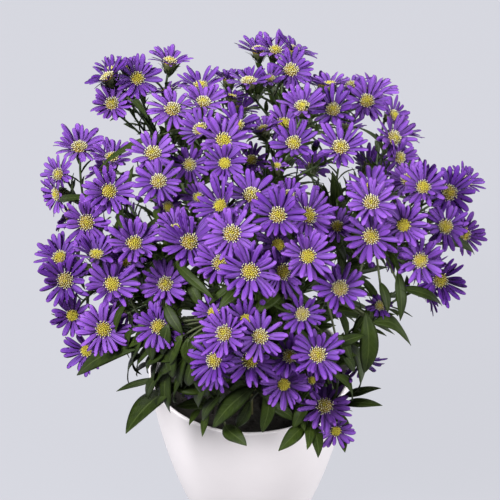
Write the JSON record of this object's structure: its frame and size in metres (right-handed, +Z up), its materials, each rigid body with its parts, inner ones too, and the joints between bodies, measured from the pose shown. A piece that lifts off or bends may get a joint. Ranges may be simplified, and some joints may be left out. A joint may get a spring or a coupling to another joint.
{
  "type": "potted aster",
  "caption": "Violet pot aster: yellow-eyed daisy blooms in open sprays on leafy branching stems that stand in soil in a plain white tapering pot.",
  "frame": {"origin": "middle of the pot's foot, on the surface that it stands on", "axes": "+Z up the pot's axis; -Y towards the front of the plant, as pictured; +X to its right"},
  "size_m": [0.3039, 0.2931, 0.3535],
  "materials": {
    "pot": "smooth matte white",
    "soil": "dark crumbly potting soil",
    "leafy_stem": "dark green leaf, faintly satin",
    "bloom": "violet petal, matte with a soft sheen",
    "disc": "yellow flower middle, granular and matte"
  },
  "bodies": {
    "root": {"pot": "pot", "soil": "soil", "leafy_stem_01": "leafy_stem", "leafy_stem_02": "leafy_stem", "leafy_stem_03": "leafy_stem", "leafy_stem_04": "leafy_stem", "leafy_stem_05": "leafy_stem", "leafy_stem_06": "leafy_stem", "leafy_stem_07": "leafy_stem", "leafy_stem_08": "leafy_stem", "leafy_stem_09": "leafy_stem", "blooms_01": "bloom", "blooms_02": "bloom", "blooms_03": "bloom", "blooms_04": "bloom", "blooms_05": "bloom", "blooms_06": "bloom", "blooms_07": "bloom", "blooms_08": "bloom", "blooms_09": "bloom", "blooms_10": "bloom", "blooms_11": "bloom", "blooms_12": "bloom", "blooms_13": "bloom", "blooms_14": "bloom", "blooms_15": "bloom", "blooms_16": "bloom", "blooms_17": "bloom", "blooms_18": "bloom", "blooms_19": "bloom", "blooms_20": "bloom", "blooms_21": "bloom", "blooms_22": "bloom", "blooms_23": "bloom", "blooms_24": "bloom", "blooms_25": "bloom", "blooms_26": "bloom", "blooms_27": "bloom", "blooms_28": "bloom", "blooms_29": "bloom", "blooms_30": "bloom", "blooms_31": "bloom", "blooms_32": "bloom", "blooms_33": "bloom", "blooms_34": "bloom", "blooms_35": "bloom", "blooms_36": "bloom", "blooms_37": "bloom", "blooms_38": "bloom", "blooms_39": "bloom", "blooms_40": "bloom", "blooms_41": "bloom", "blooms_42": "bloom", "blooms_43": "bloom", "blooms_44": "bloom", "blooms_45": "bloom", "blooms_46": "bloom", "blooms_47": "bloom", "blooms_48": "bloom", "blooms_49": "bloom"}
  },
  "joints": []
}
